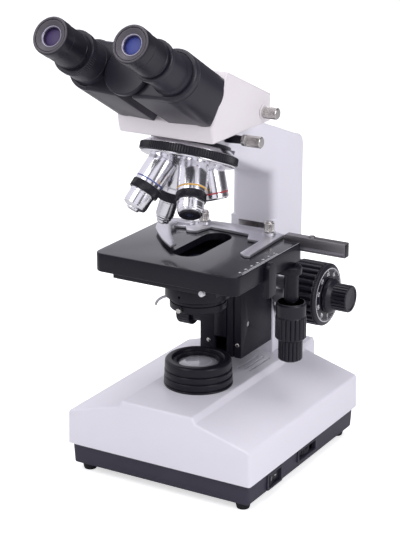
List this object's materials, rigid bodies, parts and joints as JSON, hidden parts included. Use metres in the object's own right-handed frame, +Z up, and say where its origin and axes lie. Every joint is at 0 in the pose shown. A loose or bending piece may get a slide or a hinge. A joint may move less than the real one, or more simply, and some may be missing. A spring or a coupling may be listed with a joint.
{
  "type": "binocular microscope",
  "caption": "Upright binocular compound microscope with tilted eye tubes, turning nosepiece, sliding stage, condenser, focusing knobs and a lamp in a sloped base.",
  "frame": {"origin": "where the optical axis of the stage meets the table that the four feet stand on", "axes": "+Z up along the optical axis, +X to the observer's right hand, +Y from the observer to the back of the arm"},
  "size_m": [0.203, 0.3259, 0.4245],
  "materials": {
    "white_paint": "cream-white baked enamel, satin",
    "grey_paint": "dark grey enamel, fine texture",
    "black_paint": "black enamel, satin",
    "stage_paint": "black enamel, matt on top, satin round the edge",
    "black_plastic": "black moulded plastic, fine grain",
    "bright_chrome": "polished plating",
    "plain_steel": "ground steel",
    "plain_brass": "machined brass",
    "foot_rubber": "black rubber",
    "clear_glass": "polished coated glass",
    "lamp_glass": "clear bulb glass",
    "front_mirror": "silvered",
    "iron_core": "laminated iron, varnished"
  },
  "bodies": {
    "stand": {"base_shell": "white_paint", "base_tray": "grey_paint", "rubber_feet": "foot_rubber", "base_screws": "plain_steel", "mains_inlet": "black_plastic", "transformer": "iron_core", "lamp_holder": "plain_brass", "halogen_lamp": "lamp_glass", "lamp_mirror": "front_mirror", "collector_housing": "black_paint", "collector_lens": "clear_glass", "arm": "white_paint", "focus_bushes": "plain_steel", "nosepiece_mount": "black_paint"},
    "switch": {"power_rocker": "black_plastic"},
    "dimmer": {"brightness_wheel": "black_plastic"},
    "coarse_focus": {"coarse_shaft": "plain_steel", "coarse_knobs": "black_plastic"},
    "fine_focus": {"fine_shaft": "plain_steel", "fine_knobs": "black_plastic"},
    "tension": {"tension_collar": "black_plastic"},
    "carrier": {"focus_slide": "plain_brass", "stage_carrier": "black_paint", "stage_underplate": "black_paint", "stage_rails": "plain_steel"},
    "stage": {"stage_plate": "stage_paint", "guide_block": "black_paint", "xy_drop_tube": "black_paint"},
    "y_drive": {"y_knob": "black_plastic"},
    "x_drive": {"x_knob": "black_plastic"},
    "slide_carriage": {"x_rail": "black_paint", "slide_holder": "bright_chrome"},
    "finger": {"slide_finger": "bright_chrome"},
    "left_thumb_screw": {"holder_screw_left": "bright_chrome"},
    "right_thumb_screw": {"holder_screw_right": "bright_chrome"},
    "condenser": {"condenser_slide": "black_paint", "condenser_body": "black_paint", "condenser_lens": "clear_glass"},
    "condenser_drive": {"condenser_knob": "black_plastic"},
    "iris": {"iris_lever": "black_paint"},
    "filter_swing": {"filter_holder": "black_paint"},
    "condenser_clamp": {"condenser_screw": "bright_chrome"},
    "turret": {"nosepiece": "bright_chrome", "objective_4x": "bright_chrome", "objective_10x": "bright_chrome", "objective_40x": "bright_chrome", "objective_100x": "bright_chrome", "objective_lenses": "clear_glass"},
    "head_clamp": {"head_clamp_screw": "bright_chrome"},
    "head": {"head_body": "white_paint", "head_prism": "clear_glass", "hinge_bracket": "grey_paint"},
    "head_lock": {"head_side_screw": "bright_chrome"},
    "left_tube": {"housing_left": "grey_paint"},
    "right_tube": {"housing_right": "grey_paint"},
    "dioptre": {"dioptre_ring": "grey_paint"},
    "left_eyepiece": {"eyepiece_left": "black_plastic", "eye_lens_left": "clear_glass"},
    "right_eyepiece": {"eyepiece_right": "black_plastic", "eye_lens_right": "clear_glass"}
  },
  "joints": [
    {"name": "rocker_tip", "type": "hinge", "parent": "stand", "child": "switch", "pos_m": [0.0834, -0.023, 0.01675], "axis": [0, 0, 1], "range_deg": [-12, 0]},
    {"name": "dimmer_turn", "type": "hinge", "parent": "stand", "child": "dimmer", "pos_m": [0.0729, 0.037, 0.0185], "axis": [0, 0, 1], "range_deg": [-135, 135]},
    {"name": "carrier_slide", "type": "slide", "parent": "stand", "child": "carrier", "axis": [0, 0, 1], "range_m": [-0.01, 0.009]},
    {"name": "coarse_turn", "type": "hinge", "parent": "stand", "child": "coarse_focus", "pos_m": [0, 0.119, 0.1355], "axis": [-1, 0, 0], "range_deg": [-95.6, 86.1]},
    {"name": "fine_turn", "type": "hinge", "parent": "coarse_focus", "child": "fine_focus", "pos_m": [0, 0.119, 0.1355], "axis": [-1, 0, 0], "range_deg": [-1080, 1080]},
    {"name": "tension_turn", "type": "hinge", "parent": "stand", "child": "tension", "pos_m": [0.03, 0.119, 0.1355], "axis": [1, 0, 0], "range_deg": [-60, 60]},
    {"name": "stage_y", "type": "slide", "parent": "carrier", "child": "stage", "axis": [0, 1, 0], "range_m": [-0.02, 0.02]},
    {"name": "y_knob_turn", "type": "hinge", "parent": "stage", "child": "y_drive", "pos_m": [0.07, 0.04, 0.137], "axis": [0, 0, 1], "range_deg": [-143.4, 143.4]},
    {"name": "slide_x", "type": "slide", "parent": "stage", "child": "slide_carriage", "axis": [1, 0, 0], "range_m": [-0.025, 0.025]},
    {"name": "x_knob_turn", "type": "hinge", "parent": "stage", "child": "x_drive", "pos_m": [0.07, 0.04, 0.11], "axis": [0, 0, 1], "range_deg": [-143.4, 143.4]},
    {"name": "finger_open", "type": "hinge", "parent": "slide_carriage", "child": "finger", "pos_m": [-0.037, 0.048, 0.207], "axis": [0, 0, 1], "range_deg": [-25, 0], "stiffness_Nm_per_rad": 0.03},
    {"name": "left_thumb_turn", "type": "hinge", "parent": "slide_carriage", "child": "left_thumb_screw", "pos_m": [-0.027, 0.056, 0.212], "axis": [0, 0, 1], "range_deg": [-90, 360]},
    {"name": "right_thumb_turn", "type": "hinge", "parent": "slide_carriage", "child": "right_thumb_screw", "pos_m": [0.0387, 0.056, 0.212], "axis": [0, 0, 1], "range_deg": [-90, 360]},
    {"name": "condenser_slide", "type": "slide", "parent": "carrier", "child": "condenser", "axis": [0, 0, 1], "range_m": [-0.012, 0.001]},
    {"name": "condenser_knob_turn", "type": "hinge", "parent": "carrier", "child": "condenser_drive", "pos_m": [-0.042, 0.05237, 0.12], "axis": [-1, 0, 0], "range_deg": [-141.3, 12]},
    {"name": "iris_turn", "type": "hinge", "parent": "condenser", "child": "iris", "pos_m": [0, 0, 0.1578], "axis": [0, 0, 1], "range_deg": [-30, 30]},
    {"name": "filter_swing_out", "type": "hinge", "parent": "condenser", "child": "filter_swing", "pos_m": [-0.0184, 0.0078, 0.148], "axis": [0, 0, 1], "range_deg": [-60, 26]},
    {"name": "condenser_clamp_turn", "type": "hinge", "parent": "condenser", "child": "condenser_clamp", "pos_m": [-0.003, -0.027, 0.153], "axis": [0, 1, 0], "range_deg": [-90, 270]},
    {"name": "turret_turn", "type": "hinge", "parent": "stand", "child": "turret", "pos_m": [0, 0, 0.3275], "axis": [0, -0.3746, -0.9272], "continuous": true},
    {"name": "head_clamp_turn", "type": "hinge", "parent": "stand", "child": "head_clamp", "pos_m": [0.043, 0, 0.3034], "axis": [1, 0, 0], "range_deg": [-90, 360]},
    {"name": "head_turn", "type": "hinge", "parent": "stand", "child": "head", "pos_m": [0, 0, 0.311], "axis": [0, 0, 1], "continuous": true},
    {"name": "head_lock_turn", "type": "hinge", "parent": "head", "child": "head_lock", "pos_m": [0.046, 0.028, 0.322], "axis": [1, 0, 0], "range_deg": [-90, 360]},
    {"name": "right_tube_fold", "type": "hinge", "parent": "head", "child": "right_tube", "pos_m": [0, -0.0465, 0.3407], "axis": [0, -0.866, 0.5], "range_deg": [0, 36]},
    {"name": "left_tube_fold", "type": "hinge", "parent": "head", "child": "left_tube", "pos_m": [0, -0.0465, 0.3407], "axis": [0, -0.866, 0.5], "range_deg": [-36, 0]},
    {"name": "dioptre_turn", "type": "hinge", "parent": "left_tube", "child": "dioptre", "pos_m": [-0.037, -0.04457, 0.34404], "axis": [0, -0.866, 0.5], "range_deg": [-60, 60]},
    {"name": "left_eyepiece_lift", "type": "slide", "parent": "left_tube", "child": "left_eyepiece", "axis": [0, -0.866, 0.5], "range_m": [0, 0.018]},
    {"name": "right_eyepiece_lift", "type": "slide", "parent": "right_tube", "child": "right_eyepiece", "axis": [0, -0.866, 0.5], "range_m": [0, 0.018]}
  ],
  "couplings": [
    {"joint": "coarse_turn", "follows": "carrier_slide", "rad_per_m": 166.67},
    {"joint": "y_knob_turn", "follows": "stage_y", "rad_per_m": 125},
    {"joint": "x_knob_turn", "follows": "slide_x", "rad_per_m": 100},
    {"joint": "condenser_knob_turn", "follows": "condenser_slide", "rad_per_m": 205.13},
    {"joint": "left_tube_fold", "follows": "right_tube_fold", "ratio": -1}
  ]
}
